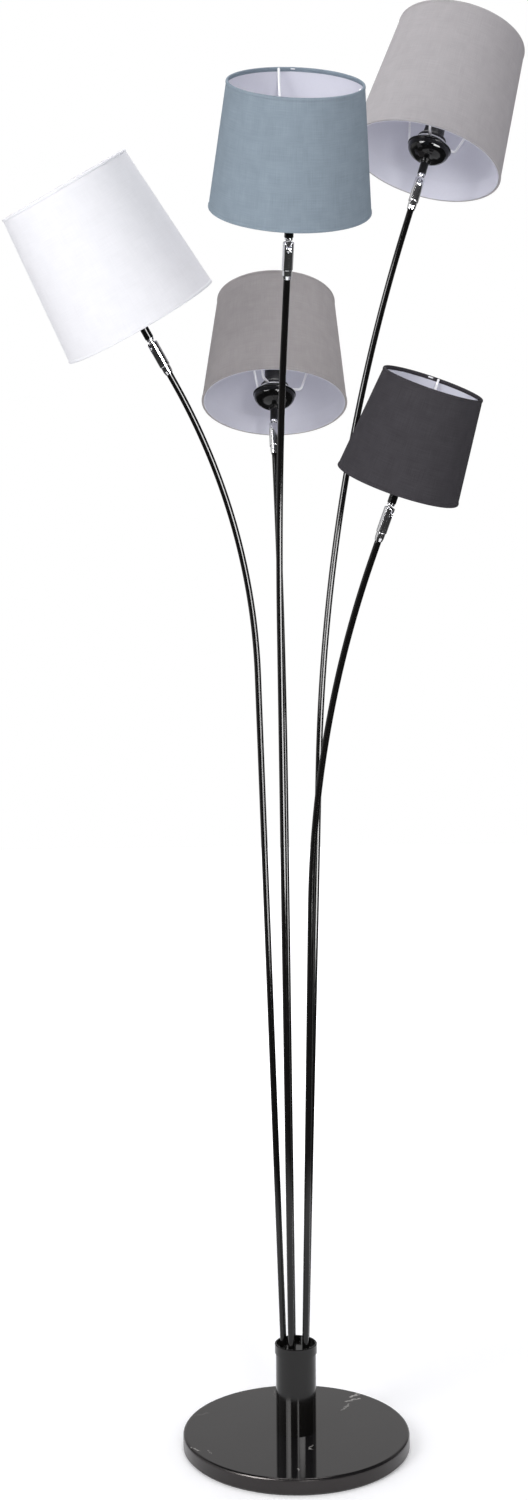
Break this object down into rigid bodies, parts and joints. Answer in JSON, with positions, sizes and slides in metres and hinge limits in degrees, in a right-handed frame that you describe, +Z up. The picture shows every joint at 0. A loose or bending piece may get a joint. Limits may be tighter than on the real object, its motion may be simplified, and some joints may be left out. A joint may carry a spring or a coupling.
{
  "type": "tree floor lamp",
  "caption": "Tree floor lamp: a stone disc and short column carry thin bent arms, each with a slotted ball joint and a tapered fabric shade.",
  "frame": {"origin": "centre of the disc's underside, on the floor", "axes": "+Z up along the column; -Y is the side the lamp shows first, with the white shade on the left (-X) and the light grey one on the right (+X)"},
  "size_m": [0.6749, 0.6288, 1.8947],
  "materials": {
    "stone": "polished",
    "pad": "matte",
    "steel": "zinc plated",
    "black_metal": "gloss",
    "chrome": "polished",
    "black_plastic": "satin",
    "bush": "matte",
    "connector": "matte",
    "white_metal": "satin",
    "fabric_white": "woven, on a white liner",
    "fabric_blue": "woven, on a white liner",
    "fabric_taupe": "woven, on a white liner",
    "fabric_grey": "woven, on a white liner",
    "fabric_black": "woven, on a white liner"
  },
  "bodies": {
    "stand": {"base_disc": "stone", "base_pad": "pad", "centre_rod": "steel", "base_washer": "steel", "base_nut": "steel", "column_tube": "black_metal", "column_cap": "black_metal", "arm_plate": "steel", "arm_nuts": "steel", "terminal_block": "connector", "cord_bush": "bush", "arm_white": "black_metal", "ferrule_white": "chrome", "arm_blue": "black_metal", "ferrule_blue": "chrome", "arm_taupe": "black_metal", "ferrule_taupe": "chrome", "arm_grey": "black_metal", "ferrule_grey": "chrome", "arm_black": "black_metal", "ferrule_black": "chrome"},
    "swivel_white": {"swivel_white": "chrome"},
    "head_white": {"ball_white": "chrome", "cup_white": "black_metal", "socket_white": "black_plastic", "shade_ring_white": "black_plastic", "shade_frame_white": "white_metal", "shade_white": "fabric_white"},
    "swivel_blue": {"swivel_blue": "chrome"},
    "head_blue": {"ball_blue": "chrome", "cup_blue": "black_metal", "socket_blue": "black_plastic", "shade_ring_blue": "black_plastic", "shade_frame_blue": "white_metal", "shade_blue": "fabric_blue"},
    "swivel_taupe": {"swivel_taupe": "chrome"},
    "head_taupe": {"ball_taupe": "chrome", "cup_taupe": "black_metal", "socket_taupe": "black_plastic", "shade_ring_taupe": "black_plastic", "shade_frame_taupe": "white_metal", "shade_taupe": "fabric_taupe"},
    "swivel_grey": {"swivel_grey": "chrome"},
    "head_grey": {"ball_grey": "chrome", "cup_grey": "black_metal", "socket_grey": "black_plastic", "shade_ring_grey": "black_plastic", "shade_frame_grey": "white_metal", "shade_grey": "fabric_grey"},
    "swivel_black": {"swivel_black": "chrome"},
    "head_black": {"ball_black": "chrome", "cup_black": "black_metal", "socket_black": "black_plastic", "shade_ring_black": "black_plastic", "shade_frame_black": "white_metal", "shade_black": "fabric_black"}
  },
  "joints": [
    {"name": "turn_white", "type": "hinge", "parent": "stand", "child": "swivel_white", "pos_m": [-0.17145, -0.05124, 1.43316], "axis": [-0.4856, -0.2297, 0.8434], "range_deg": [-20, 320]},
    {"name": "tilt_white", "type": "hinge", "parent": "swivel_white", "child": "head_white", "pos_m": [-0.17145, -0.05124, 1.43316], "axis": [0.4524, -0.8917, 0.0176], "range_deg": [0, 90]},
    {"name": "turn_blue", "type": "hinge", "parent": "stand", "child": "swivel_blue", "pos_m": [-0.01183, -0.18293, 1.52957], "axis": [0.0236, -0.4702, 0.8822], "range_deg": [-20, 320]},
    {"name": "tilt_blue", "type": "hinge", "parent": "swivel_blue", "child": "head_blue", "pos_m": [-0.01183, -0.18293, 1.52957], "axis": [0.9972, 0.0732, 0.0124], "range_deg": [0, 90]},
    {"name": "turn_taupe", "type": "hinge", "parent": "stand", "child": "swivel_taupe", "pos_m": [-0.01384, 0.14307, 1.35265], "axis": [-0.0172, 0.3421, 0.9395], "range_deg": [-320, 20]},
    {"name": "tilt_taupe", "type": "hinge", "parent": "swivel_taupe", "child": "head_taupe", "pos_m": [-0.01384, 0.14307, 1.35265], "axis": [-0.0327, 0.939, -0.3425], "range_deg": [-3.1, 86.9]},
    {"name": "turn_grey", "type": "hinge", "parent": "stand", "child": "swivel_grey", "pos_m": [0.17424, 0.06464, 1.66333], "axis": [0.3041, 0.0955, 0.9478], "range_deg": [-20, 320]},
    {"name": "tilt_grey", "type": "hinge", "parent": "swivel_grey", "child": "head_grey", "pos_m": [0.17424, 0.06464, 1.66333], "axis": [0.95, 0.0432, -0.3092], "range_deg": [0, 95.6]},
    {"name": "turn_black", "type": "hinge", "parent": "stand", "child": "swivel_black", "pos_m": [0.11368, -0.10617, 1.22302], "axis": [0.3003, -0.2747, 0.9134], "range_deg": [-20, 320]},
    {"name": "tilt_black", "type": "hinge", "parent": "swivel_black", "child": "head_black", "pos_m": [0.11368, -0.10617, 1.22302], "axis": [0.6717, 0.7408, 0.0019], "range_deg": [0, 90]}
  ]
}
